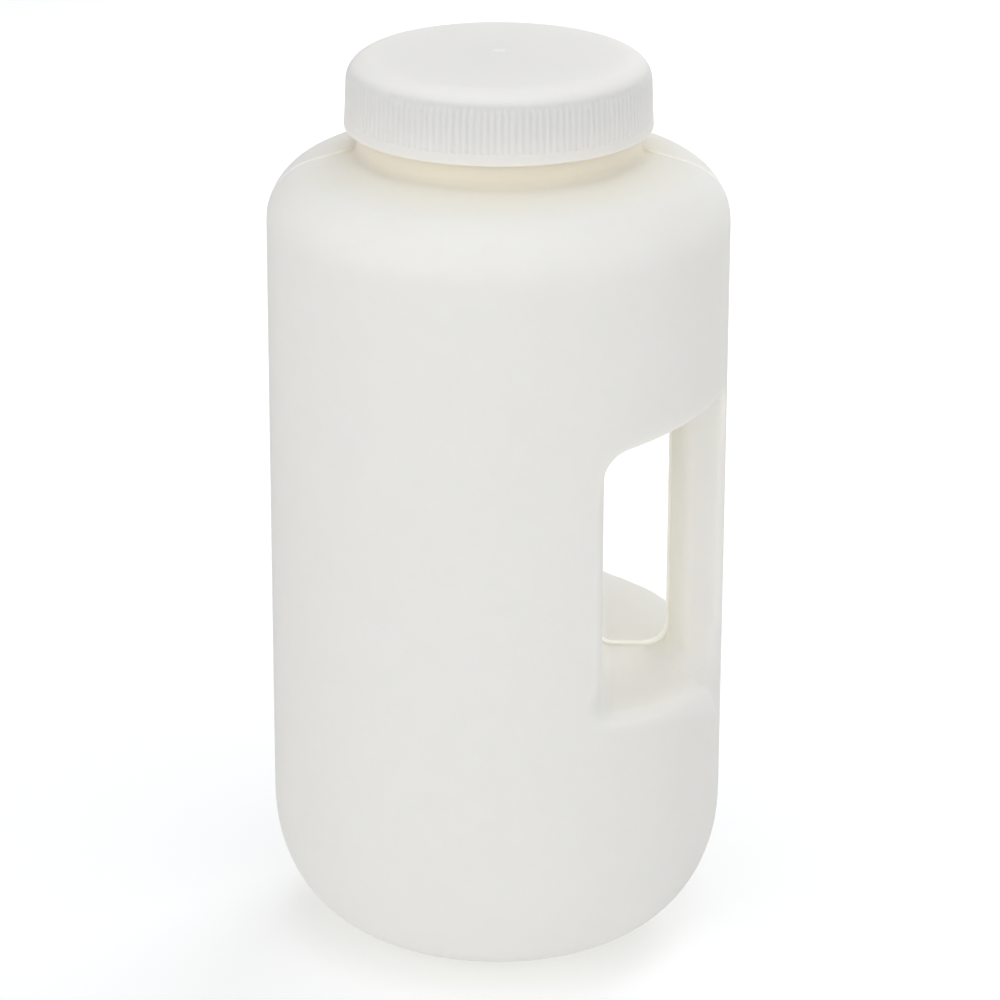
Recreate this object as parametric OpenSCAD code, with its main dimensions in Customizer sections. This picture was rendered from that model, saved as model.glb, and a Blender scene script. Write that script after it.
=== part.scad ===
// Wide-mouth reagent bottle with a moulded-in side handle and a ribbed screw closure.
// Frame: Z up, origin on the bottle's axis at its foot, handle on the +X side,
// mould parting plane at Y = 0. Millimetres.

/* [Body] */
// Outside diameter of the straight body wall
body_d = 158; // [156:1:160]
// Wall thickness of the body and the handle
wall = 1.8; // [1.4:0.1:2.2]
// Height at which the straight wall turns into the shoulder
shoulder_z = 258; // [254:1:260]
// Radius of the turn from the wall into the shoulder
shoulder_r = 21; // [18:1:24]
// Slope of the shoulder cone below horizontal, in degrees
shoulder_slope = 16.8; // [12:0.2:20]

/* [Foot] */
// Radial width of the rounded foot corner
corner_w = 43; // [40:1:46]
// Height of the rounded foot corner
corner_h = 50; // [46:1:54]
// Exponent of the foot corner, 2 being an ellipse
corner_power = 2.15; // [2:0.05:2.4]
// Width of the flat ring that the bottle stands on
ring_w = 3.5; // [2.5:0.5:5]
// Height of the pushed-up middle of the foot
push_up = 5; // [3:0.5:7]
// Thickness of the foot
foot_wall = 2.4; // [2:0.1:3]

/* [Neck] */
// Outside diameter of the neck below and between the threads
neck_d = 96; // [95.6:0.1:96.2]
// Wall thickness of the neck
neck_wall = 2.2; // [1.8:0.1:2.6]
// Height of the sealing lip
lip_z = 309.3; // [308.8:0.1:309.6]
// Radius of the fillet at the neck's root
neck_fillet = 3; // [1:0.5:4]

/* [Thread] */
// Rise of the thread in one turn
thread_pitch = 5.08; // [4.8:0.01:5.4]
// Height of the neck's thread ridge above the neck
ridge_h = 1.5; // [1.2:0.1:1.5]
// Number of turns of each thread ridge
thread_turns = 1.6; // [1.2:0.1:1.7]
// Height of the lower end of the neck's thread ridge
thread_z = 296.5; // [296:0.1:297]

/* [Handle recess] */
// Distance from the axis to the flat back wall of the recess
recess_x = 35.2; // [33:0.2:37]
// Height of the recess floor at the back wall
floor_z = 104; // [100:0.1:106]
// Fall of the floor towards the handle, in degrees
floor_slope = 8; // [5:0.5:10]
// Distance from the axis at which the floor bends down
floor_bend_x = 55; // [52:0.5:58]
// Radius of that bend
floor_r = 36; // [34:1:42]
// Height of the recess ceiling at the back wall
ceiling_z = 196.2; // [194:0.1:200]
// Rise of the ceiling towards the handle, in degrees
ceiling_slope = 8.6; // [5:0.2:9]
// Draft of the recess floor and ceiling away from the parting plane, in degrees
draft = 0.5; // [0.25:0.25:2]
// Radius of the recess corner at the floor
floor_corner_r = 5; // [4:0.5:7]
// Radius of the recess corner at the ceiling
ceiling_corner_r = 8; // [6:0.5:10]

/* [Handle] */
// Distance from the axis to the handle's inner face
grip_x = 60.6; // [58:0.2:62]
// Width of the handle across the parting plane
grip_w = 26; // [22:1:30]
// Depth of the rounded inner side of the handle
grip_nose = 7; // [4:0.2:7]
// Radius of the webs that join the handle to the body
web_r = 9.5; // [8:0.5:11]
// Thickness of the webs
web_w = 16; // [10:1:18]
// Height of the pinch-off fin round the finger opening
fin_h = 1.3; // [0.8:0.1:1.6]
// Thickness of the pinch-off fin
fin_w = 0.8; // [0.6:0.1:1.2]
// Height of the mould seam on the shoulder
seam_h = 0.45; // [0.2:0.05:0.5]

/* [Closure] */
// Largest outside diameter of the closure, at its lower edge
cap_d = 104.72; // [104.4:0.02:105]
// Outside diameter of the closure where the top corner starts
cap_top_d = 103.5; // [103.2:0.1:103.8]
// Height of the closure's lower edge above the foot
cap_z = 291.3; // [290.6:0.1:291.8]
// Height of the closure from its lower edge to the rim of its top
cap_h = 24.2; // [24:0.1:24.8]
// Rise of the crowned top in the middle
crown = 1.3; // [0.8:0.1:1.6]
// Radial width of the rounded top corner
cap_corner_w = 9.5; // [8:0.5:10]
// Height of the rounded top corner
cap_corner_h = 8.6; // [7.6:0.2:9]
// Number of grip ribs
rib_count = 140; // [100:10:160]
// Depth of the grooves between the ribs
rib_depth = 0.8; // [0.6:0.05:1.3]
// Height of the plain band below the ribs
band_h = 3.7; // [3:0.1:4.5]

/* [Liner] */
// Thickness of the sealing disc
liner_t = 1.2; // [1:0.1:1.3]

/* [Hidden] */
$fn = 144;
body_r = body_d / 2;
neck_r = neck_d / 2;
mouth_r = neck_r - neck_wall;
ring_out = body_r - corner_w;
ring_in = ring_out - ring_w;

// The neck's ridge and the closure's ridge keep this gap to the wall they face
thread_gap = 0.4;
bore_r = neck_r + ridge_h + thread_gap;
ridge_bury = 0.3;
ridge_root_w = 2.2;
ridge_crest_w = 1;
cap_ridge_root_w = 1.7;
cap_ridge_crest_w = 0.8;
lead_angle = 24;
lead_start = 0.12;
ring_steps = 72;

// The flat land in the closure that presses the liner on the lip
seat_z = lip_z + liner_t;
seat_in = 43.5;
liner_play = 0.5;
liner_r = bore_r - liner_play;
seat_cone_h = 2;
seat_cone_w = 3;
dome_edge_z = seat_z + seat_cone_h;
dome_edge_r = seat_in - seat_cone_w;
top_z = cap_z + cap_h + crown;
top_wall = 2.4;
dome_z = top_z - top_wall;
gate_r = 1.9;
gate_h = 0.3;
edge = 0.4;

// Half widths of a rib's crest and of its root, as parts of the rib pitch
crest_part = 0.2;
root_part = 0.3;

// How far a piece runs into the one it grows out of, and how far a cutter runs past what it cuts
bury = 0.6;
past = 1;

// Centres of the floor's bend and of the webs, and the far end of the recess outline
bend_x = floor_bend_x - floor_r * sin(floor_slope);
bend_z = floor_edge(floor_bend_x, 0) - floor_r * cos(floor_slope);
web_x = grip_x - web_r;
web_low_z = floor_edge(web_x, 0) + web_r / cos(floor_slope);
web_high_z = ceiling_edge(web_x, 0) - web_r / cos(ceiling_slope);
far_x = 84;
reach = 90;
seam_from = 38;

// The points of a line from its last but one back to its first
function back(line) = [for (i = [len(line) - 2:-1:0]) line[i]];

// Points on an ellipse arc about [x, z], from angle a0 to a1, both ends included
function arc(x, z, rx, rz, a0, a1, steps = 12) =
    [for (i = [0:steps]) let (a = a0 + (a1 - a0) * i / steps) [x + rx * cos(a), z + rz * sin(a)]];

// A quarter superellipse from the bottom of the foot corner up to the wall
function foot_corner(rx, rz, steps = 20) =
    [for (i = [0:steps])
        let (a = 90 * i / steps, k = 2 / corner_power)
        [ring_out + rx * pow(sin(a), k), corner_h - rz * pow(cos(a), k)]];

// A shallow dome over radius r with height h, from the axis outwards
function dome(r, h, z, steps = 8) =
    let (rho = (r * r + h * h) / (2 * h))
    [for (i = [0:steps]) let (x = r * i / steps) [x, z + h - rho + sqrt(rho * rho - x * x)]];

// Height of the shoulder cone's surface, moved out by g, at radius x
function cone_z(x, g) =
    shoulder_z + (shoulder_r + g) / cos(shoulder_slope)
    - (x - body_r + shoulder_r) * tan(shoulder_slope);

// The shoulder from the wall up to the cone, moved out by g
function shoulder(g, a0 = 0) =
    arc(body_r - shoulder_r, shoulder_z, shoulder_r + g, shoulder_r + g, a0, 90 - shoulder_slope, 14);

// The fillet from the cone to the neck
function neck_root(f) =
    arc(neck_r + f, cone_z(neck_r + f, 0) + f / cos(shoulder_slope), f, f, 270 - shoulder_slope, 180, 6);

// Height of the sloping floor at x, grown by g
function floor_edge(x, g) = floor_z - (x - recess_x) * tan(floor_slope) - g / cos(floor_slope);

// Height of the sloping ceiling at x, grown by g
function ceiling_edge(x, g) = ceiling_z + (x - recess_x) * tan(ceiling_slope) + g / cos(ceiling_slope);

// Rounded corners of the recess at the back wall, grown by g
function low_corner(g) =
    arc(recess_x + floor_corner_r,
        floor_edge(recess_x + floor_corner_r, 0) + floor_corner_r / cos(floor_slope),
        floor_corner_r + g, floor_corner_r + g, 180, 270 - floor_slope, 8);
function high_corner(g) =
    arc(recess_x + ceiling_corner_r,
        ceiling_edge(recess_x + ceiling_corner_r, 0) - ceiling_corner_r / cos(ceiling_slope),
        ceiling_corner_r + g, ceiling_corner_r + g, 90 + ceiling_slope, 180, 10);

// Recess seen along Y, grown outwards by g
function recess_outline(g) = concat(
    low_corner(g),
    arc(bend_x, bend_z, floor_r - g, floor_r - g,
        90 - floor_slope, acos((far_x - bend_x) / floor_r), 16),
    [[reach, bend_z], [reach, ceiling_edge(reach, g)]],
    high_corner(g)
);

// Finger opening in the parting plane, made smaller by i
function opening_outline(i) = concat(
    low_corner(-i),
    arc(web_x, web_low_z, web_r - i, web_r - i, 270 - floor_slope, 360, 10),
    arc(web_x, web_high_z, web_r - i, web_r - i, 0, 90 + ceiling_slope, 10),
    high_corner(-i)
);

// Turns a drawing made in the XZ plane upright, and makes it w thick about Y = 0
module upright(w) {
    translate([0, w / 2, 0])
        rotate([90, 0, 0])
            linear_extrude(w)
                children();
}

// Solid of revolution inside the outer skin of the body and the neck
module outer_form() {
    rotate_extrude()
        polygon(concat(
            dome(ring_in, push_up, 0),
            foot_corner(corner_w, corner_h),
            shoulder(0),
            neck_root(neck_fillet),
            [[neck_r, lip_z - edge], [neck_r - edge, lip_z], [0, lip_z]]
        ));
}

// Solid of revolution of the space inside the body and the neck
module inner_form() {
    rotate_extrude()
        polygon(concat(
            dome(ring_in, push_up, foot_wall),
            foot_corner(corner_w - wall, corner_h - foot_wall),
            shoulder(-wall),
            [[mouth_r + neck_fillet, cone_z(mouth_r + neck_fillet, -wall)]],
            [[mouth_r, cone_z(mouth_r, -wall) + neck_fillet], [mouth_r, lip_z + past], [0, lip_z + past]]
        ));
}

// Handle bar: round towards the fingers, flat at the sides, made smaller by g
module bar(g) {
    nose_x = grip_x + grip_nose;
    half = grip_w / 2 - g;
    translate([0, 0, bend_z])
        linear_extrude(ceiling_edge(reach, 0) + reach * tan(draft) - bend_z)
            polygon(concat(
                arc(nose_x, 0, grip_nose - g, half, 90, 270, 16),
                [[reach, -half], [reach, half]]
            ));
}

// Webs that round off both ends of the finger opening at the handle
module webs() {
    for (ends = [[bend_z, web_low_z], [web_high_z, ceiling_edge(reach, 0)]])
        upright(web_w)
            difference() {
                translate([web_x, ends[0]])
                    square([web_r + grip_nose, ends[1] - ends[0]]);
                polygon(opening_outline(0));
            }
}

// Space on one side of the parting plane, its floor and ceiling drawn apart by the draft
module recess_side(g) {
    for (face = [[floor_z, -draft], [ceiling_z, draft]])
        translate([0, 0, face[0]])
            rotate([face[1], 0, 0])
                translate([0, reach / 2, -face[0]])
                    upright(reach + fin_w)
                        polygon(recess_outline(g));
}

// Space cut out of the body round the handle, grown by g
module recess(g) {
    difference() {
        union() {
            recess_side(g);
            mirror([0, 1, 0])
                recess_side(g);
        }
        bar(g);
        if (g == 0)
            webs();
    }
}

// Thin fin left where the two mould halves pinch the wall round the opening
module pinch_fin() {
    upright(fin_w)
        difference() {
            polygon(opening_outline(-bury));
            polygon(opening_outline(fin_h));
        }
}

// Raised seam over one side of the shoulder, in the parting plane
module shoulder_seam() {
    top = neck_r + neck_fillet;
    line = concat(shoulder(seam_h, seam_from), [[top, cone_z(top, seam_h)]]);
    under = concat(shoulder(-wall / 2, seam_from), [[top, cone_z(top, -wall / 2)]]);
    last = len(under) - 1;
    upright(fin_w)
        polygon(concat(line, [for (i = [0:last]) under[last - i]]));
}

// Height of a ridge at step i of n, running out to nothing at both ends
function run_out(i, n) = min(1, min(i, n - i) * 360 / ring_steps / lead_angle);

// One helical ridge from root radius r0 to crest radius r1, its middle at height z
module ridge(r0, r1, root_w, crest_w, z) {
    n = round(thread_turns * ring_steps);
    points = [for (i = [0:n])
        let (a = 360 * i / ring_steps, zi = z + thread_pitch * i / ring_steps)
        let (f = lead_start + (1 - lead_start) * run_out(i, n), r = r0 + (r1 - r0) * f)
        each [
            [r0 * cos(a), r0 * sin(a), zi - root_w / 2],
            [r * cos(a), r * sin(a), zi - crest_w / 2],
            [r * cos(a), r * sin(a), zi + crest_w / 2],
            [r0 * cos(a), r0 * sin(a), zi + root_w / 2]
        ]];
    outward = r1 > r0;
    ends = [[0, 1, 2, 3], [4 * n + 3, 4 * n + 2, 4 * n + 1, 4 * n]];
    sides = [for (i = [0:n - 1], j = [0:3])
        let (a = 4 * i + j, b = 4 * i + (j + 1) % 4)
        each [[a, a + 4, b + 4], [a, b + 4, b]]];
    faces = concat(ends, sides);
    polyhedron(points, outward ? [for (f = faces) [for (k = [len(f) - 1:-1:0]) f[k]]] : faces);
}

module bottle() {
    color([0.93, 0.93, 0.9]) {
        difference() {
            outer_form();
            recess(0);
            difference() {
                inner_form();
                recess(wall);
            }
        }
        pinch_fin();
        shoulder_seam();
        mirror([1, 0, 0])
            shoulder_seam();
        ridge(neck_r - ridge_bury, neck_r + ridge_h, ridge_root_w, ridge_crest_w, thread_z);
    }
}

// Outline of the closure's ribbed wall: ribs with grooves between them
module rib_ring() {
    pitch = 360 / rib_count;
    low = cap_d / 2 - rib_depth;
    high = cap_d / 2 + past;
    polygon([for (i = [0:rib_count - 1])
        each [
            for (side = [[-root_part, low], [-crest_part, high], [crest_part, high], [root_part, low]])
            let (a = pitch * (i + side[0]), r = side[1])
            [r * cos(a), r * sin(a)]
        ]]);
}

// Everything outside the ribs, above the plain band
module grooves() {
    translate([0, 0, cap_z + band_h])
        linear_extrude(cap_h)
            difference() {
                circle(r = cap_d);
                rib_ring();
            }
}

// Solid of revolution inside the closure's outer skin
module cap_form() {
    corner_z = cap_z + cap_h - cap_corner_h;
    top_r = cap_top_d / 2;
    rotate_extrude()
        polygon(concat(
            [[0, cap_z], [cap_d / 2 - edge, cap_z], [cap_d / 2, cap_z + edge]],
            arc(top_r - cap_corner_w, corner_z, cap_corner_w, cap_corner_h, 0, 90, 12),
            back(dome(top_r - cap_corner_w, crown, cap_z + cap_h))
        ));
}

// Space inside the closure: skirt bore, liner seat and shallow dome
module cap_hollow() {
    rotate_extrude()
        polygon(concat(
            [[0, cap_z - past], [bore_r + edge, cap_z - past], [bore_r + edge, cap_z]],
            [[bore_r, cap_z + edge], [bore_r, seat_z], [seat_in, seat_z], [dome_edge_r, dome_edge_z]],
            back(dome(dome_edge_r, dome_z - dome_edge_z, dome_edge_z))
        ));
}

module cap() {
    color("white") {
        difference() {
            cap_form();
            grooves();
            cap_hollow();
        }
        translate([0, 0, top_z - bury])
            cylinder(r = gate_r, h = bury + gate_h);
        ridge(bore_r + ridge_bury, neck_r + thread_gap, cap_ridge_root_w, cap_ridge_crest_w,
            thread_z - thread_pitch / 2);
    }
}

module liner() {
    color("lightgrey")
        translate([0, 0, lip_z])
            cylinder(r = liner_r, h = liner_t);
}

bottle();
cap();
liner();
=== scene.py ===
import math

import bpy
import numpy as np
from mathutils import Matrix, Vector


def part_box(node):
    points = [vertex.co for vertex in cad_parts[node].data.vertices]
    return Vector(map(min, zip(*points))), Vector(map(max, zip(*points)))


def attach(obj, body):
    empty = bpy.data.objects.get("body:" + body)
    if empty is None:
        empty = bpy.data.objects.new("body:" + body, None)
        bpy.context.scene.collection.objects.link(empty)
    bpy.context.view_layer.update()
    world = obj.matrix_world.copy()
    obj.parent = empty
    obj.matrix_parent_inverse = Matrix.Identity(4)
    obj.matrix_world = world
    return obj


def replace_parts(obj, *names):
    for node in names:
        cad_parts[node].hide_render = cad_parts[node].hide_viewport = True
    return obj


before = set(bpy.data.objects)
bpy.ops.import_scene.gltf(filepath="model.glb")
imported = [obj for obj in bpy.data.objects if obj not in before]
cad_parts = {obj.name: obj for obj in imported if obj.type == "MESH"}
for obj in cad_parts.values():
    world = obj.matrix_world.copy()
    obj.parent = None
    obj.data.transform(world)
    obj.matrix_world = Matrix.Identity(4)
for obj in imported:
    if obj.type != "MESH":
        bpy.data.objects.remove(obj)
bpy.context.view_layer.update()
MM = 0.001
TURN = 2 * math.pi
TINY = 1e-9


def box_mm(node):
    """Lowest and highest corner of a CAD node, in millimetres."""
    lo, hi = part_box(node)
    return np.array(lo) / MM, np.array(hi) / MM


BOTTLE_HI = box_mm("bottle")[1]
CAP_LO, CAP_HI = box_mm("cap")
LINER_LO, LINER_HI = box_mm("liner")

# Body
BODY_R = min(BOTTLE_HI[0], BOTTLE_HI[1]) - 0.02
WALL = 1.8
SEAM_W = 0.32
SEAM_WALL = 0.05
SEAM_SHOULDER = 0.42
SEAM_FOOT = 0.3

# Foot
RING_OUT = 36.0
RING_IN = 32.5
CORNER_H = 50.0
CORNER_POWER = 2.15
PUSH_UP = 5.0
FOOT_WALL = 2.4
DOME_RADII = np.array([4.0, 9, 14, 19, 24, 28, 31])

# Shoulder and neck
SHOULDER_Z = 258.0
SHOULDER_R = 21.0
SLOPE = math.radians(16.8)
NECK_R = 48.0
NECK_FILLET = 3.0
MOUTH_R = 45.8
LIP_Z = BOTTLE_HI[2]
LIP_EDGE = 0.4
NECK_FILLET_IN = 1.6

# Thread
PITCH = 5.08
THREAD_Z = 296.5
THREAD_TURNS = 1.6
RIDGE_H = 1.45
RIDGE_ROOT = 2.2
RIDGE_CREST = 1.0
CAP_RIDGE_ROOT = 1.9
CAP_RIDGE_CREST = 0.8
LEAD = math.radians(24)

# Recess and handle
BACK_X = 35.2
FLOOR_Z = 104.0
FLOOR_SLOPE = math.radians(8)
FLOOR_BEND_X = 55.0
FLOOR_R = 36.0
CEILING_Z = 196.2
CEILING_SLOPE = math.radians(8.6)
DRAFT = math.radians(0.5)
DRAFT_SOFT = 8.0
FLOOR_CORNER = 5.0
CEILING_CORNER = 8.0
GRIP_X = 60.6
GRIP_NOSE = 7.0
GRIP_HALF = 13.0
WEB_R = 9.5
ROOT_R = 7.0
FLOOR_DIP = 2.2

# Pinched fin round the finger opening
FIN_H = 1.3
FIN_HALF = 0.4
FIN_ROOT = 2.4
FIN_INSET = 2.5
FIN_EDGE = 0.3
FIN_FILLET = 0.5
GAP_LOW = 103.0
GAP_HIGH = 198.0
GAP_CORNER = 4.0

# Rounding where the recess meets the outer wall
EDGE_R = 2.4
EDGE_LESS_AT_CEILING = 1.6
EDGE_MORE_IN_FRONT = 2.6

# Heights between which the bottle's skin is a net and not turned on the axis
NET_LOW = 72.0
NET_HIGH = 214.0

# Closure
RIBS = 140
CAP_R = CAP_HI[0] - 0.02
CAP_TOP_R = 51.75
CAP_Z = CAP_LO[2]
CAP_RIM_Z = 315.5
CROWN = 1.3
CORNER_W_CAP = 9.5
CORNER_H_CAP = 8.6
RIB_DEPTH = 0.3
BAND_TOP = CAP_Z + 3.7
BORE_R = 49.9
SEAT_Z = 310.5
SEAT_IN = 43.5
DOME_EDGE = (40.5, 312.5)
DOME_Z = 314.4
CAP_THREAD_TOP = 309.3
CAP_IN_STEPS = 280
LINER_STEPS = 180
GATE_R = 1.9

# Colours, and the places in metres where they fade into one another
NATURAL = ((0.953, 0.935, 0.86), (0.967, 0.95, 0.878))
# Painted warm shade on the neck and its thread, from the first height up: light seen through the thin
# wall under the cap's shadow, painted darker and amber.
NECK_SHADE_FADE = (0.2765, 0.2845)
NECK_PAINTED_SHADE = (0.942, 0.85, 0.722)
# Painted shade, brown, where the mould seam runs into the root of the neck on both sides: its strength,
# reach from the axis, top and foot.
SEAM_ROOT_SHADE_BROWN = (0.62, 0.53, 0.34)
SEAM_ROOT_SHADE_SHARE = 0.35
SEAM_ROOT_SHADE_REACH = (0.0495, 0.0535)
SEAM_ROOT_SHADE_TOP = (0.2825, 0.2855)
SEAM_ROOT_SHADE_FOOT = (0.272, 0.276)
# The skirt's two colours are painted darker with shade and also give its random grain; the top's colour
# is painted lighter with light; both are one white PP.
CAP_SKIRT_GRAIN_AND_SHADE = ((0.79, 0.794, 0.785), (0.80, 0.804, 0.795))
CAP_TURN = (0.308, 0.3135)
CAP_TOP_PAINTED_LIGHT = (0.866, 0.868, 0.858)
GATE_WHITE = (0.97, 0.97, 0.965)
GATE_BLUSH = (0.0014, 0.0027)

# World, dim to bright along a direction
WORLD_BRIGHT_SIDE = (-0.1, -0.9, -0.15)
WORLD_STRENGTH = (0.49, 1.078)
WORLD_WHITE = (1, 0.985, 0.965)

# Camera, its angles in degrees
FOCAL_MM = 157.79
CAMERA_AT = (0, -1.4302, 0.691)
CAMERA_DOWN = 20.52
CAMERA_ROLL = 0.19


# ---------------------------------------------------------------- mesh helpers

def graded(start, *spans):
    """Grid lines from start on, each span (end, step) cut into equal steps."""
    lines = [np.array([float(start)])]
    for end, step in spans:
        count = max(1, round((end - start) / step))
        lines.append(np.linspace(start, end, count + 1)[1:])
        start = end
    return np.concatenate(lines)


def smooth(a, b, v):
    """0 below a, 1 above b, an S curve between."""
    t = np.clip((v - a) / (b - a), 0, 1)
    return t * t * (3 - 2 * t)


class Skin:
    """Points and faces of one closed mesh, in millimetres."""

    def __init__(self):
        self.points = []
        self.faces = []
        self.count = 0

    def add(self, points):
        points = np.asarray(points, float).reshape(-1, 3)
        first = self.count
        self.points.append(points)
        self.count += len(points)
        return np.arange(first, self.count)

    def ring(self, angles, r, z):
        """A ring of points at angles, r and z being numbers or one value for each angle."""
        r = np.broadcast_to(r, angles.shape)
        z = np.broadcast_to(z, angles.shape)
        return self.add(np.stack([r * np.cos(angles), r * np.sin(angles), z], 1))

    def quads(self, q):
        self.faces.extend(np.asarray(q).tolist())

    def join(self, a, b):
        """Quads from ring a to the next ring b with as many points."""
        a2, b2 = np.roll(a, -1), np.roll(b, -1)
        self.quads(np.stack([a, a2, b2, b], 1))

    def follow(self, last, angles, profile):
        """A ring for each (radius, height), each joined to the one before. Returns the last."""
        for r, z in profile:
            ring = self.ring(angles, r, z)
            self.join(last, ring)
            last = ring
        return last

    def stitch(self, a, angles_a, b, angles_b):
        """Triangles between two rings with different numbers of points, in order of angle."""
        order_a = np.argsort(angles_a % TURN, kind="stable")
        order_b = np.argsort(angles_b % TURN, kind="stable")
        a, b = a[order_a], b[order_b]
        ta = np.append((angles_a % TURN)[order_a], (angles_a % TURN).min() + TURN)
        tb = np.append((angles_b % TURN)[order_b], (angles_b % TURN).min() + TURN)
        i = j = 0
        while i < len(a) or j < len(b):
            step_a = j >= len(b) or (i < len(a) and ta[i] + ta[i + 1] <= tb[j] + tb[j + 1])
            if step_a:
                self.faces.append([a[i], a[(i + 1) % len(a)], b[j % len(b)]])
                i += 1
            else:
                self.faces.append([a[i % len(a)], b[(j + 1) % len(b)], b[j]])
                j += 1

    def close(self, ring, z, last):
        """A fan from the ring to a point on the axis; last tells that the ring comes before it."""
        centre = self.add([[0, 0, z]])[0]
        nxt = np.roll(ring, -1)
        middle = np.full(len(ring), centre)
        order = [ring, nxt, middle] if last else [middle, nxt, ring]
        self.quads(np.stack(order, 1))

    def build(self, name, material, body, normals=None):
        """The Blender object, riding on a CAD body."""
        points = np.concatenate(self.points)
        mesh = bpy.data.meshes.new(name)
        mesh.from_pydata((points * MM).tolist(), [], self.faces)
        mesh.update()
        mesh.shade_smooth()
        if normals is not None:
            own = np.empty(len(points) * 3)
            mesh.vertex_normals.foreach_get("vector", own)
            own = own.reshape(-1, 3)
            for where, value in normals:
                own[where] = value
            mesh.normals_split_custom_set_from_vertices(own.tolist())
        mesh.materials.append(material)
        obj = bpy.data.objects.new(name, mesh)
        bpy.context.scene.collection.objects.link(obj)
        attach(obj, body)
        return obj


# ------------------------------------------------------- shape of the bottle

def round_cut(a, b, r):
    """Where both a and b are below 0, its edge rounded by r."""
    u = np.hypot(np.maximum(a + r, 0), np.maximum(b + r, 0))
    return np.minimum(-r, np.maximum(a, b)) + u


def round_join(a, b, r):
    """Where a or b is below 0, the corner between them filled by a fillet of radius r."""
    u = np.hypot(np.maximum(r - a, 0), np.maximum(r - b, 0))
    return np.maximum(r, np.minimum(a, b)) - u


def hand_room(x, y, z):
    """Space behind and beside the handle: back wall, falling floor and rising ceiling."""
    side = (np.hypot(y, DRAFT_SOFT) - DRAFT_SOFT) * math.tan(DRAFT)
    cos, sin = math.cos(FLOOR_SLOPE), math.sin(FLOOR_SLOPE)
    bend_z = FLOOR_Z - (FLOOR_BEND_X - BACK_X) * sin / cos
    level = (x - BACK_X) * sin / cos - FLOOR_DIP
    dip = np.clip(level, -FLOOR_DIP, 0) * (1 - smooth(0, 45, np.abs(y)))
    u, v = x - FLOOR_BEND_X, z - bend_z + side - dip
    along, up = u * cos - v * sin, u * sin + v * cos
    fall = np.hypot(np.maximum(along, 0), up + FLOOR_R) - FLOOR_R
    over = z - CEILING_Z - side - (x - BACK_X) * math.tan(CEILING_SLOPE)
    low = round_cut(BACK_X - x, -fall, FLOOR_CORNER)
    return round_cut(low, over * math.cos(CEILING_SLOPE), CEILING_CORNER)


def grip_bar(x, y):
    """Upright bar of the handle: flat sides and a rounded side towards the fingers."""
    nose = GRIP_X + GRIP_NOSE
    u, v = np.minimum(x - nose, 0) / GRIP_NOSE, y / GRIP_HALF
    k1 = np.hypot(u, v) + TINY
    k2 = np.hypot(u / GRIP_NOSE, v / GRIP_HALF) + TINY
    oval = k1 * (k1 - 1) / k2
    return np.where(x < nose, oval, np.abs(y) - GRIP_HALF)


def handle_side(x, y, z):
    """The hand room's walls with the bar grown into its floor and ceiling."""
    fillet = ROOT_R + (WEB_R - ROOT_R) * (1 - smooth(5, 13, np.abs(y)))
    return round_join(grip_bar(x, y), -hand_room(x, y, z), fillet)


def finger_gap(x, z):
    """Signed distance to the outline that the pinched fin leaves open in the parting plane."""
    left, right = BACK_X + FIN_H, GRIP_X - FIN_H
    low = round_cut(GAP_LOW - z, left - x, GAP_CORNER)
    low = round_cut(low, x - right, WEB_R - FIN_H)
    return round_cut(low, z - GAP_HIGH, WEB_R - FIN_H)


def seam(y, height):
    """Height of the mould seam at a distance y from the parting plane."""
    return height * np.exp(-(y / SEAM_W) ** 2)


def skin(x, y, z):
    """Signed distance to the outer skin in the stretch with the handle."""
    wall = np.hypot(x, y) - BODY_R - seam(y, SEAM_WALL)
    edge = (EDGE_R - EDGE_LESS_AT_CEILING * smooth(178, 193, z)
            + EDGE_MORE_IN_FRONT * smooth(12, -12, y) * smooth(118, 106, z))
    solid = round_cut(handle_side(x, y, z), wall, edge)
    inward = np.maximum(handle_side(x, 0 * y, z) - FIN_ROOT, wall + FIN_INSET)
    rim = np.maximum(-finger_gap(x, z), inward)
    fin = round_cut(np.abs(y) - FIN_HALF, rim, FIN_EDGE)
    return round_join(solid, fin, FIN_FILLET)


def lining(x, y, z):
    """Signed distance to the inner skin in the same stretch."""
    return skin(x, y, z) + WALL


def after(v):
    """The values one step further round the axis."""
    return np.roll(v, -1, 0)


def share(a, b):
    """Where the value passes 0 on the way from a to b, as a share of the way."""
    with np.errstate(divide="ignore", invalid="ignore"):
        s = a / (a - b)
    return np.where(np.isfinite(s), s, 0)


def net_points(value, crossed, angles, r, z):
    """A point for each grid cell that the surface passes, and each cell's point number."""
    cross_t, cross_r, cross_z = crossed
    width = np.append(np.diff(angles), angles[0] + TURN - angles[-1])[:, None, None]
    cell = (len(angles), len(r) - 1, len(z) - 1)
    total = np.zeros(cell)
    where = np.zeros((3,) + cell)

    def count(m, *place):
        total[...] += m
        for axis, at in enumerate(place):
            where[axis] += m * at

    part_t = share(value, after(value)) * width
    part_r = r[None, :-1, None] + share(value[:, :-1], value[:, 1:]) * np.diff(r)[None, :, None]
    part_z = z[None, None, :-1] + share(value[:, :, :-1], value[:, :, 1:]) * np.diff(z)[None, None, :]
    rows = [slice(j, len(r) - 1 + j) for j in (0, 1)]
    layers = [slice(k, len(z) - 1 + k) for k in (0, 1)]
    for js in rows:
        for ks in layers:
            count(cross_t[:, js, ks], part_t[:, js, ks], r[None, js, None], z[None, None, ks])
    for i in (0, 1):
        for ks in layers:
            m, p = cross_r[:, :, ks], part_r[:, :, ks]
            if i:
                m, p = after(m), after(p)
            count(m, i * width, p, z[None, None, ks])
        for js in rows:
            m, p = cross_z[:, js], part_z[:, js]
            if i:
                m, p = after(m), after(p)
            count(m, i * width, r[None, js, None], p)
    used = total > 0
    number = np.full(cell, -1)
    number[used] = np.arange(used.sum())
    where = where[:, used] / total[used]
    turn = angles[np.nonzero(used)[0]] + where[0]
    return np.stack([where[1] * np.cos(turn), where[1] * np.sin(turn), where[2]], 1), number


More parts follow.
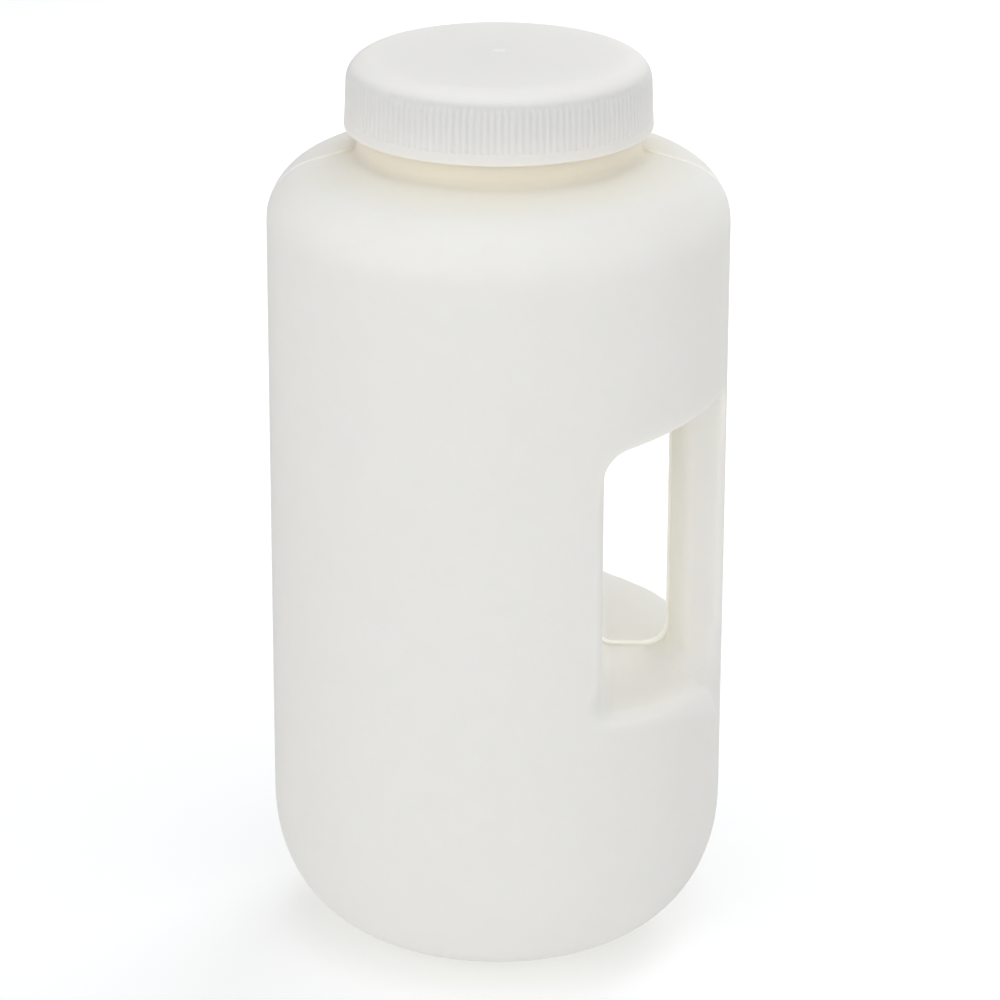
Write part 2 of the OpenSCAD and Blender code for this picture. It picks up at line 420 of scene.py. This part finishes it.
def net_quads(inside, crossed, number):
    """A quad round each grid line that the surface crosses, facing outwards."""
    cross_t, cross_r, cross_z = crossed
    before = np.roll(number, 1, 0)
    low, high, mid = slice(None, -1), slice(1, None), slice(1, -1)
    faces = []
    for cross, turned, corners in (
            (cross_t[:, mid, mid], inside[:, mid, mid],
             (number[:, low, low], number[:, high, low], number[:, high, high], number[:, low, high])),
            (cross_r[:, :, mid], ~inside[:, :-1, mid],
             (before[:, :, low], number[:, :, low], number[:, :, high], before[:, :, high])),
            (cross_z[:, mid], inside[:, mid, :-1],
             (before[:, low], number[:, low], number[:, high], before[:, high]))):
        q = np.stack([c[cross] for c in corners], 1)
        back = turned[cross]
        q[back] = q[back][:, ::-1]
        faces.append(q)
    return np.concatenate(faces)


def net(f, angles, r, z, flip):
    """Surface where f is 0 on a cylindrical grid: points, quads and the end rings' point numbers."""
    x = np.cos(angles)[:, None, None] * r[None, :, None]
    y = np.sin(angles)[:, None, None] * r[None, :, None]
    value = f(x, y, z[None, None, :] + 0 * x)
    inside = value < 0
    crossed = (inside != after(inside), inside[:, 1:] != inside[:, :-1],
               inside[:, :, 1:] != inside[:, :, :-1])
    points, number = net_points(value, crossed, angles, r, z)
    quads = net_quads(inside, crossed, number)
    if flip:
        quads = quads[:, ::-1]
    return points, quads, number[:, :, 0].max(1), number[:, :, -1].max(1)


def gradient(f, p, h=0.02):
    """Direction in which f grows, by central differences."""
    x, y, z = p.T
    return np.stack([
        f(x + h, y, z) - f(x - h, y, z),
        f(x, y + h, z) - f(x, y - h, z),
        f(x, y, z + h) - f(x, y, z - h)], 1) / (2 * h)


def settle(f, p, steps=3, most=0.5):
    """Points moved onto the surface f = 0, and the unit normals there."""
    for _ in range(steps):
        g = gradient(f, p)
        d = f(*p.T)[:, None] * g / np.maximum((g * g).sum(1, keepdims=True), 0.05)
        far = np.maximum(np.linalg.norm(d, axis=1, keepdims=True), TINY)
        p = p - d * np.minimum(1, most / far)
    g = gradient(f, p)
    return p, g / np.maximum(np.linalg.norm(g, axis=1, keepdims=True), TINY)


def arc(cx, cz, rx, rz, a0, a1, steps):
    """Profile points on an ellipse arc, angles in degrees."""
    a = np.radians(np.linspace(a0, a1, steps + 1))
    return np.stack([cx + rx * np.cos(a), cz + rz * np.sin(a)], 1)


def foot_profile(corner_w, corner_h, rise, steps):
    """Profile from the foot's middle to the wall: pushed-up dome, standing ring, rounded corner."""
    rho = (RING_IN ** 2 + PUSH_UP ** 2) / (2 * PUSH_UP)
    x = DOME_RADII
    dome = np.stack([x, rise + PUSH_UP - rho + np.sqrt(rho * rho - x * x)], 1)
    a = np.radians(np.linspace(0, 90, steps + 1))
    k = 2 / CORNER_POWER
    corner = np.stack([
        RING_OUT + corner_w * np.sin(a) ** k,
        CORNER_H - corner_h * np.cos(a) ** k], 1)
    return np.concatenate([dome, [[RING_IN + 0.4, rise + 0.06], [RING_IN + 1, rise]], corner])


def cone_z(x, grow):
    """Height of the shoulder cone, moved out by grow, at radius x."""
    return (SHOULDER_Z + (SHOULDER_R + grow) / math.cos(SLOPE)
            - (x - BODY_R + SHOULDER_R) * math.tan(SLOPE))


def shoulder_profile(grow, low_z, root_r, fillet, arc_steps):
    """Profile from the wall over the shoulder to the root of the neck."""
    wall = [[BODY_R + grow, z] for z in np.linspace(low_z, SHOULDER_Z, 5)[:-1]]
    turn = arc(BODY_R - SHOULDER_R, SHOULDER_Z, SHOULDER_R + grow, SHOULDER_R + grow,
               0, 90 - math.degrees(SLOPE), arc_steps)
    x = np.linspace(turn[-1][0], root_r + 2.5 * fillet, 5)[1:]
    cone = np.stack([x, cone_z(x, grow)], 1)
    root = arc(root_r + fillet, cone_z(root_r + fillet, grow) + fillet / math.cos(SLOPE),
               fillet, fillet, 270 - math.degrees(SLOPE), 180, 6)
    return np.concatenate([wall, turn, cone, root])


def thread(angles, z, start_z, root_w, crest_w):
    """Share of the ridge height that a helical thread has at each angle, at height z."""
    best = np.zeros_like(angles)
    for k in range(-1, 3):
        along = angles % TURN + TURN * k
        off = np.abs(z - start_z - PITCH * along / TURN)
        side = 1 - smooth(crest_w / 2, root_w / 2, off)
        ends = np.minimum(along, THREAD_TURNS * TURN - along) / LEAD
        best = np.maximum(best, side * np.clip(ends, 0, 1) ** 0.7)
    return best


def profile_normals(profile):
    """Outward normals of a profile that runs outwards and then up."""
    d = np.gradient(profile, axis=0)
    d = d / np.linalg.norm(d, axis=1, keepdims=True)
    return np.stack([d[:, 1], -d[:, 0]], 1)


def lathe(skin_mesh, profile, angles, seam_height):
    """Rings of a profile, with the mould seam raised along its normal. Returns the rings."""
    rings = []
    for (r, z), (nr, nz) in zip(profile, profile_normals(profile)):
        y = r * np.sin(angles)
        up = seam(y, seam_height(r, z))
        rings.append(skin_mesh.ring(angles, r + nr * up, z + nz * up))
    for a, b in zip(rings, rings[1:]):
        skin_mesh.join(a, b)
    return rings


def low_seam(r, z):
    """Height of the mould seam on the foot."""
    return SEAM_FOOT * (1 - smooth(26, 31, r)) + SEAM_WALL * smooth(20, 45, z)


def high_seam(r, z):
    """Height of the mould seam on the shoulder, fading out at the neck's root."""
    on = smooth(SHOULDER_Z + 2, SHOULDER_Z + 14, z) * smooth(NECK_R + 0.2, NECK_R + 2, r)
    return SEAM_WALL + (SEAM_SHOULDER - SEAM_WALL) * on


def handle_stretch(s, f, lines, r, z, flip):
    """The stretch with the handle. Returns normals, angles and the rings at its lower and upper end."""
    points, quads, low, high = net(f, lines, r, z, flip)
    points, normal = settle(f, points)
    middle = s.add(points)
    s.quads(middle[quads])
    angles = (lines + np.append(lines[1:], lines[0] + TURN)) / 2
    return (middle, -normal if flip else normal), angles, middle[low], middle[high]


def outer_skin(s):
    """Outer skin from the foot's middle up to the lip. Returns normals, angles and the lip's ring."""
    lines = np.radians(graded(-180, (-179.2, 0.2), (-177, 0.55), (-69, 3), (-61, 0.6), (-14, 1.08),
                              (-7.5, 0.5), (-2.4, 0.85), (-1.2, 0.3), (1.2, 0.17), (2.4, 0.3),
                              (7.5, 0.85), (14, 0.5), (61, 1.08), (69, 0.6), (177, 3),
                              (179.2, 0.55), (180, 0.2)))[:-1]
    r = graded(31, (58, 1.35), (66, 0.5), (76, 1.4), (80.5, 0.75))
    z = graded(NET_LOW, (80, 2.6), (107, 0.9), (113, 1.4), (188, 2.6), (194, 1.2), (206, 0.55),
               (NET_HIGH, 2))
    normals, angles, low, high = handle_stretch(s, skin, lines, r, z, False)

    foot = foot_profile(BODY_R - RING_OUT, CORNER_H, 0, 24)
    foot = np.concatenate([foot, [[BODY_R, 57.0], [BODY_R, 64.0]]])
    rings = lathe(s, foot, angles, low_seam)
    s.close(rings[0], PUSH_UP, False)
    s.join(rings[-1], low)

    upper = shoulder_profile(0, NET_HIGH + 10, NECK_R, NECK_FILLET, 16)
    rings = lathe(s, upper, angles, high_seam)
    s.join(high, rings[0])
    levels = graded(upper[-1][1] + 1.5, (293.5, 2.5), (307.6, 0.4), (LIP_Z - LIP_EDGE, 0.7))
    neck = [(NECK_R + thread(angles, z, THREAD_Z, RIDGE_ROOT, RIDGE_CREST) * RIDGE_H, z)
            for z in levels]
    last = s.follow(rings[-1], angles, neck)
    lip = arc(NECK_R - LIP_EDGE, LIP_Z - LIP_EDGE, LIP_EDGE, LIP_EDGE, 22, 90, 3)
    return normals, angles, s.follow(last, angles, lip)


def inner_skin(s, lip, lip_angles):
    """Inner skin, coarser, from the lip down to the foot's middle. Returns its normals."""
    lines = np.radians(graded(-180, (-70, 4), (-58, 1.5), (-14, 2), (14, 1.2), (58, 2), (70, 1.5),
                              (180, 4)))[:-1]
    r = graded(28, (56, 2.2), (78, 1.1))
    z = graded(NET_LOW - 4, (80, 4), (110, 2), (190, 4.5), (212, 1.5), (NET_HIGH + 2, 2))
    normals, angles, low, high = handle_stretch(s, lining, lines, r, z, True)

    lip_in = s.ring(angles, MOUTH_R + LIP_EDGE, LIP_Z)
    s.stitch(lip, lip_angles, lip_in, angles)
    shoulder = shoulder_profile(-WALL, NET_HIGH + 12, MOUTH_R, NECK_FILLET_IN, 10)
    neck = [[MOUTH_R, z] for z in (290, 300, LIP_Z - LIP_EDGE)]
    last = s.follow(lip_in, angles, np.concatenate([shoulder, neck])[::-1])
    s.join(last, high)
    foot = foot_profile(BODY_R - WALL - RING_OUT, CORNER_H - FOOT_WALL, FOOT_WALL, 14)[::-1]
    s.close(s.follow(low, angles, foot), PUSH_UP + FOOT_WALL, True)
    return normals


def bottle(material):
    """One closed mesh: outer skin from the foot's middle up to the lip, inner skin back down."""
    s = Skin()
    outside, angles, lip = outer_skin(s)
    inside = inner_skin(s, lip, angles)
    obj = s.build("bottle_skin", material, "bottle", [outside, inside])
    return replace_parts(obj, "bottle")


# ------------------------------------------------------------ closure, liner

def rib_depth_share(part):
    """Share of the groove's depth at a place within one rib pitch, 0 being the rib's crest."""
    return smooth(0.02, 0.5, np.abs(part))


def cap_shell_r(z):
    """Radius of the closure's outer form at height z, without its ribs."""
    corner_z = CAP_RIM_Z - CORNER_H_CAP
    slope = (CAP_R - CAP_TOP_R) / (corner_z - CAP_Z)
    t = np.clip((z - corner_z) / CORNER_H_CAP, 0, 1)
    return CAP_R - slope * (min(z, corner_z) - CAP_Z) - CORNER_W_CAP * (1 - np.sqrt(1 - t * t))


def cap_wall(s, angles, depth):
    """The closure's ribbed wall, from its lower edge up. Returns the first and the last ring."""
    rings = []
    for r, z in arc(CAP_R - 0.5, CAP_Z + 0.5, 0.5, 0.5, -90, 0, 4):
        rings.append(s.ring(angles, r, z))
    for z, part in ((CAP_Z + 2, 0), (BAND_TOP - 0.35, 0), (BAND_TOP - 0.12, 0.06),
                    (BAND_TOP, 0.22), (BAND_TOP + 0.08, 0.85), (BAND_TOP + 0.3, 0.97),
                    (BAND_TOP + 0.8, 1)):
        rings.append(s.ring(angles, cap_shell_r(z) - part * depth * RIB_DEPTH, z))
    for z in graded(BAND_TOP + 3, (305.5, 2.6), (308, 0.8), (313, 0.35), (314.2, 0.5)):
        run_out = 1 - smooth(307.5, 312.4, z)
        rings.append(s.ring(angles, cap_shell_r(z) - depth * run_out * RIB_DEPTH, z))
    for a, b in zip(rings, rings[1:]):
        s.join(a, b)
    return rings[0], rings[-1]


def cap_top_z(x):
    """Height of the closure's top at radius x: a rounded edge and a crowned middle."""
    flat = CAP_TOP_R - CORNER_W_CAP
    rho = (flat ** 2 + CROWN ** 2) / (2 * CROWN)
    if x < flat:
        return CAP_RIM_Z + CROWN - rho + math.sqrt(rho * rho - x * x)
    t = (x - flat) / CORNER_W_CAP
    return CAP_RIM_Z - CORNER_H_CAP * (1 - math.sqrt(1 - t * t))


def cap_top(s, last, before):
    """The closure's top with the gate mark, with fewer points on each ring towards the middle."""
    for count, radii in ((280, (46.2, 45, 43.8, 42.8, 41.5, 39, 35)), (112, (30, 24, 18, 12)),
                         (48, (7, 4, 2.2, GATE_R + 0.25))):
        around = np.arange(count) * TURN / count
        for x in radii:
            ring = s.ring(around, x, cap_top_z(x))
            if len(before) != count:
                s.stitch(last, before, ring, around)
            else:
                s.join(last, ring)
            last, before = ring, around
    middle = cap_top_z(0)
    gate = ((GATE_R, 0.04), (GATE_R - 0.1, 0.2), (GATE_R - 0.35, 0.27), (GATE_R - 0.7, 0.2),
            (GATE_R - 1, 0.05), (0.4, 0.02))
    last = s.follow(last, before, [(x, middle + up) for x, up in gate])
    s.close(last, middle + 0.02, True)


def cap_inside(s, around):
    """Inside of the closure, from the dome's middle out and down. Returns its last ring."""
    fall = DOME_Z - DOME_EDGE[1]
    profile = [[x, DOME_Z - fall * (x / DOME_EDGE[0]) ** 2] for x in (6, 14, 22, 30, 36)]
    profile += [list(DOME_EDGE), [SEAT_IN, SEAT_Z], [46, SEAT_Z], [BORE_R - 0.5, SEAT_Z]]
    profile += [[BORE_R - 0.12, SEAT_Z - 0.12], [BORE_R, SEAT_Z - 0.5]]
    first = s.ring(around, *profile[0])
    s.close(first, DOME_Z, False)
    last = s.follow(first, around, profile[1:])
    start_z = THREAD_Z - PITCH / 2
    bore = []
    for down in graded(-CAP_THREAD_TOP, (-293, 0.3), (-CAP_Z - 0.5, 0.6)):
        ridge = thread(around, -down, start_z, CAP_RIDGE_ROOT, CAP_RIDGE_CREST) * RIDGE_H
        bore.append((BORE_R - ridge, -down))
    last = s.follow(last, around, bore)
    return s.follow(last, around, ((BORE_R + 0.12, CAP_Z + 0.12), (BORE_R + 0.5, CAP_Z)))


def closure(material):
    """One closed mesh: ribbed wall and crowned top outside, thread, seat and dome inside."""
    s = Skin()
    parts = np.array([-0.5, -0.38, -0.3, -0.22, -0.12, 0.12, 0.22, 0.3, 0.38])
    angles = (np.arange(RIBS)[:, None] + parts[None, :]).ravel() * TURN / RIBS
    depth = np.tile(rib_depth_share(parts), RIBS)
    first, last = cap_wall(s, angles, depth)
    cap_top(s, last, angles)
    around = np.arange(CAP_IN_STEPS) * TURN / CAP_IN_STEPS
    s.stitch(cap_inside(s, around), around, first, angles)
    obj = s.build("closure", material, "cap")
    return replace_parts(obj, "cap")


def sealing_disc(material):
    """The liner: a foam disc with rounded edges and a pressed ring where it meets the lip."""
    s = Skin()
    around = np.arange(LINER_STEPS) * TURN / LINER_STEPS
    r, lo, hi = LINER_HI[1] - 0.02, LINER_LO[2], LINER_HI[2]
    profile = [[x, lo + 0.02] for x in (8, 20, 32, 42)]
    profile += [[x, lo + up] for x, up in ((45.4, 0.01), (45.9, 0.1), (46.8, 0.12), (47.7, 0.1),
                                           (48.2, 0.01))]
    profile += arc(r - 0.3, lo + 0.3, 0.3, 0.3, -90, 0, 4).tolist()
    profile += arc(r - 0.3, hi - 0.3, 0.3, 0.3, 0, 90, 4).tolist()
    profile += [[x, hi - 0.01] for x in (44, 30, 16)]
    first = s.ring(around, *profile[0])
    s.close(first, lo + 0.02, False)
    s.close(s.follow(first, around, profile[1:]), hi - 0.01, True)
    obj = s.build("sealing_disc", material, "liner")
    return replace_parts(obj, "liner")


# ------------------------------------------------------------------ materials

def shader(name, **values):
    """A node material with a Principled shader and the given constant values."""
    mat = bpy.data.materials.new(name)
    mat.use_nodes = True
    bsdf = mat.node_tree.nodes["Principled BSDF"]
    for key, value in values.items():
        bsdf.inputs[key.replace("_", " ")].default_value = value
    return mat, mat.node_tree, bsdf


def noise(tree, scale, detail=3.0, rough=0.5, stretch=(1, 1, 1)):
    """A noise texture in object space, in lumps per metre."""
    nodes, links = tree.nodes, tree.links
    coords = nodes.new("ShaderNodeTexCoord")
    mapping = nodes.new("ShaderNodeMapping")
    mapping.inputs["Scale"].default_value = stretch
    tex = nodes.new("ShaderNodeTexNoise")
    tex.inputs["Scale"].default_value = scale
    tex.inputs["Detail"].default_value = detail
    tex.inputs["Roughness"].default_value = rough
    links.new(coords.outputs["Object"], mapping.inputs["Vector"])
    links.new(mapping.outputs["Vector"], tex.inputs["Vector"])
    return tex.outputs["Fac"]


def mapped(tree, value, low, high, to_low, to_high):
    """A value stretched from one range to another."""
    node = tree.nodes.new("ShaderNodeMapRange")
    node.inputs["From Min"].default_value = low
    node.inputs["From Max"].default_value = high
    node.inputs["To Min"].default_value = to_low
    node.inputs["To Max"].default_value = to_high
    tree.links.new(value, node.inputs["Value"])
    return node.outputs["Result"]


def tinted(tree, value, low, high, dark, light):
    """A colour between dark and light where value runs from low to high."""
    node = tree.nodes.new("ShaderNodeMix")
    node.data_type = "RGBA"
    node.inputs["A"].default_value = (*dark, 1)
    node.inputs["B"].default_value = (*light, 1)
    tree.links.new(mapped(tree, value, low, high, 0, 1), node.inputs["Factor"])
    return node.outputs["Result"]


def coordinate(tree, axis):
    """One coordinate in the shared frame, in metres: "Y" is across the parting plane, "Z" is height."""
    coords = tree.nodes.new("ShaderNodeTexCoord")
    split = tree.nodes.new("ShaderNodeSeparateXYZ")
    tree.links.new(coords.outputs["Object"], split.inputs["Vector"])
    return split.outputs[axis]


def times(tree, a, b):
    """The product of two values."""
    node = tree.nodes.new("ShaderNodeMath")
    node.operation = "MULTIPLY"
    tree.links.new(a, node.inputs[0])
    tree.links.new(b, node.inputs[1])
    return node.outputs["Value"]


def seam_root_shade(tree):
    """Share of the small patch of painted shade where the seam runs into the root of the neck."""
    aside = tree.nodes.new("ShaderNodeMath")
    aside.operation = "ABSOLUTE"
    tree.links.new(coordinate(tree, "Y"), aside.inputs[0])
    across = mapped(tree, aside.outputs["Value"], 0.001, 0.006, SEAM_ROOT_SHADE_SHARE, 0)
    outward = mapped(tree, from_axis(tree), *SEAM_ROOT_SHADE_REACH, 1, 0)
    below = mapped(tree, coordinate(tree, "Z"), *SEAM_ROOT_SHADE_TOP, 1, 0)
    above = mapped(tree, coordinate(tree, "Z"), *SEAM_ROOT_SHADE_FOOT, 0, 1)
    return times(tree, times(tree, across, outward), times(tree, below, above))


def from_axis(tree):
    """Distance from the bottle's axis, in metres."""
    coords = tree.nodes.new("ShaderNodeTexCoord")
    flat = tree.nodes.new("ShaderNodeVectorMath")
    flat.operation = "MULTIPLY"
    flat.inputs[1].default_value = (1, 1, 0)
    tree.links.new(coords.outputs["Object"], flat.inputs[0])
    length = tree.nodes.new("ShaderNodeVectorMath")
    length.operation = "LENGTH"
    tree.links.new(flat.outputs["Vector"], length.inputs[0])
    return length.outputs["Value"]


def blended(tree, share, color, other):
    """A colour that turns into another one as share goes from 0 to 1."""
    node = tree.nodes.new("ShaderNodeMix")
    node.data_type = "RGBA"
    tree.links.new(color, node.inputs["A"])
    node.inputs["B"].default_value = (*other, 1)
    tree.links.new(share, node.inputs["Factor"])
    return node.outputs["Result"]


def bumps(tree, bsdf, *layers):
    """Stacked bump layers (relief value, distance in metres)."""
    last = None
    for relief, distance in layers:
        node = tree.nodes.new("ShaderNodeBump")
        node.inputs["Distance"].default_value = distance
        tree.links.new(relief, node.inputs["Height"])
        if last is not None:
            tree.links.new(last, node.inputs["Normal"])
        last = node.outputs["Normal"]
    tree.links.new(last, bsdf.inputs["Normal"])


def hdpe():
    """Natural blow-moulded HDPE: satin, faintly mottled, letting light through the wall; painted warm
    shade on the neck and painted shade where the seam meets it.
    """
    mat, tree, bsdf = shader("hdpe_natural", Subsurface_Weight=1.0, Subsurface_Scale=0.0032,
                             Subsurface_Radius=(1.0, 0.96, 0.88), IOR=1.5)
    clouds = noise(tree, 55, 4, 0.55)
    color = tinted(tree, clouds, 0.3, 0.7, *NATURAL)
    # Painted warm shade on the neck above this height, fading in over a few millimetres.
    neck = mapped(tree, coordinate(tree, "Z"), *NECK_SHADE_FADE, 0, 1)
    color = blended(tree, neck, color, NECK_PAINTED_SHADE)
    # Painted shade where the seam meets the neck.
    color = blended(tree, seam_root_shade(tree), color, SEAM_ROOT_SHADE_BROWN)
    tree.links.new(color, bsdf.inputs["Base Color"])
    tree.links.new(mapped(tree, noise(tree, 140, 3), 0.3, 0.7, 0.40, 0.5), bsdf.inputs["Roughness"])
    bumps(tree, bsdf, (noise(tree, 28, 2, 0.4, (1, 1, 0.5)), 0.0012),
          (noise(tree, 900, 3, 0.6), 0.00006))
    return mat


def polypropylene():
    """Opaque white injection-moulded PP with a fine eroded texture; painted shade on the ribbed skirt
    and painted light on the top.
    """
    mat, tree, bsdf = shader("pp_white", Subsurface_Weight=1.0, Subsurface_Scale=0.0045,
                             Subsurface_Radius=(1.0, 0.95, 0.9), IOR=1.49)
    grain = noise(tree, 90, 3)
    shaded_skirt = tinted(tree, grain, 0.3, 0.7, *CAP_SKIRT_GRAIN_AND_SHADE)
    # Painted light: above this height the closure's top is painted lighter than its shaded skirt.
    lit_top = mapped(tree, coordinate(tree, "Z"), *CAP_TURN, 0, 1)
    color = blended(tree, lit_top, shaded_skirt, CAP_TOP_PAINTED_LIGHT)
    blush = mapped(tree, from_axis(tree), *GATE_BLUSH, 1, 0)
    tree.links.new(blended(tree, blush, color, GATE_WHITE), bsdf.inputs["Base Color"])
    tree.links.new(mapped(tree, noise(tree, 260, 3), 0.3, 0.7, 0.5, 0.6), bsdf.inputs["Roughness"])
    bumps(tree, bsdf, (noise(tree, 1800, 4, 0.65), 0.00006))
    return mat


def foam():
    """Closed-cell PE foam with a skin of small cells."""
    mat, tree, bsdf = shader("pe_foam", Roughness=0.75, Subsurface_Weight=0.3,
                             Subsurface_Scale=0.001, IOR=1.4)
    cells = tree.nodes.new("ShaderNodeTexVoronoi")
    cells.inputs["Scale"].default_value = 1400
    coords = tree.nodes.new("ShaderNodeTexCoord")
    tree.links.new(coords.outputs["Object"], cells.inputs["Vector"])
    color = tinted(tree, noise(tree, 200, 3), 0.3, 0.7, (0.82, 0.82, 0.81), (0.88, 0.88, 0.875))
    tree.links.new(color, bsdf.inputs["Base Color"])
    bumps(tree, bsdf, (cells.outputs["Distance"], 0.00015))
    return mat


def paper_white():
    """Bright studio floor."""
    mat, tree, bsdf = shader("studio_floor", Roughness=0.9, Emission_Strength=0.075,
                             Emission_Color=(1, 1, 1, 1), IOR=1.3)
    color = tinted(tree, noise(tree, 3, 2), 0.3, 0.7, (0.92, 0.945, 0.98), (0.93, 0.955, 0.99))
    tree.links.new(color, bsdf.inputs["Base Color"])
    return mat


# --------------------------------------------------------------- studio, view

def studio():
    """A floor that curves up into a backdrop far behind the bottle."""
    half = 6.0
    path = [[-6.0, 0.0], [4.0, 0.0]]
    path += [[4.0 + 2 * math.sin(a), 2 - 2 * math.cos(a)] for a in np.radians(np.arange(6, 91, 6))]
    path += [[6.0, 7.0]]
    mesh = bpy.data.meshes.new("studio")
    points = [(x, y, z) for y, z in path for x in (-half, half)]
    faces = [(2 * i, 2 * i + 1, 2 * i + 3, 2 * i + 2) for i in range(len(path) - 1)]
    mesh.from_pydata(points, [], faces)
    mesh.shade_smooth()
    mesh.materials.append(paper_white())
    floor = bpy.data.objects.new("studio", mesh)
    floor.visible_diffuse = False
    floor.visible_glossy = False
    floor.visible_transmission = False
    bpy.context.scene.collection.objects.link(floor)


def lamp(name, place, aim, size, power, shine=True):
    """A soft square area light, which shows in reflections where shine is true."""
    data = bpy.data.lights.new(name, "AREA")
    data.size = size
    data.energy = power
    obj = bpy.data.objects.new(name, data)
    obj.location = place
    obj.rotation_euler = (Vector(aim) - Vector(place)).to_track_quat("-Z", "Y").to_euler()
    obj.visible_glossy = shine
    bpy.context.scene.collection.objects.link(obj)


def lights():
    """Lamps, and a world that is bright on the camera's side, a little more so below, and dim behind."""
    world = bpy.data.worlds.new("studio_world")
    world.use_nodes = True
    tree = world.node_tree
    back = tree.nodes["Background"]
    back.inputs["Color"].default_value = (*WORLD_WHITE, 1)
    coords = tree.nodes.new("ShaderNodeTexCoord")
    facing = tree.nodes.new("ShaderNodeVectorMath")
    facing.operation = "DOT_PRODUCT"
    facing.inputs[1].default_value = WORLD_BRIGHT_SIDE
    tree.links.new(coords.outputs["Generated"], facing.inputs[0])
    strength = mapped(tree, facing.outputs["Value"], -1, 1, *WORLD_STRENGTH)
    tree.links.new(strength, back.inputs["Strength"])
    bpy.context.scene.world = world
    lamp("top", (0, -0.35, 1.9), (0, 0, 0.25), 1.2, 4.2)
    lamp("left", (-1.6, -1.5, 0.7), (0, 0, 0.14), 1.2, 2.8)
    lamp("right", (1.5, -1.4, 0.5), (0.06, 0, 0.14), 1.0, 1.0, False)
    lamp("back", (0.6, 1.2, 0.6), (0.05, 0, 0.15), 0.8, 9, False)


def camera():
    """The photograph's point of view."""
    data = bpy.data.cameras.new("camera")
    data.sensor_width = 36
    data.lens = FOCAL_MM
    data.shift_x = 0.0023
    data.clip_start = 0.05
    data.clip_end = 40
    obj = bpy.data.objects.new("camera", data)
    tilt = Matrix.Rotation(math.radians(90 - CAMERA_DOWN), 4, "X")
    roll = Matrix.Rotation(math.radians(CAMERA_ROLL), 4, "Z")
    obj.matrix_world = Matrix.Translation(CAMERA_AT) @ tilt @ roll
    bpy.context.scene.collection.objects.link(obj)
    bpy.context.scene.camera = obj


bottle(hdpe())
closure(polypropylene())
sealing_disc(foam())
studio()
lights()
camera()
bpy.context.scene.view_settings.view_transform = "Standard"
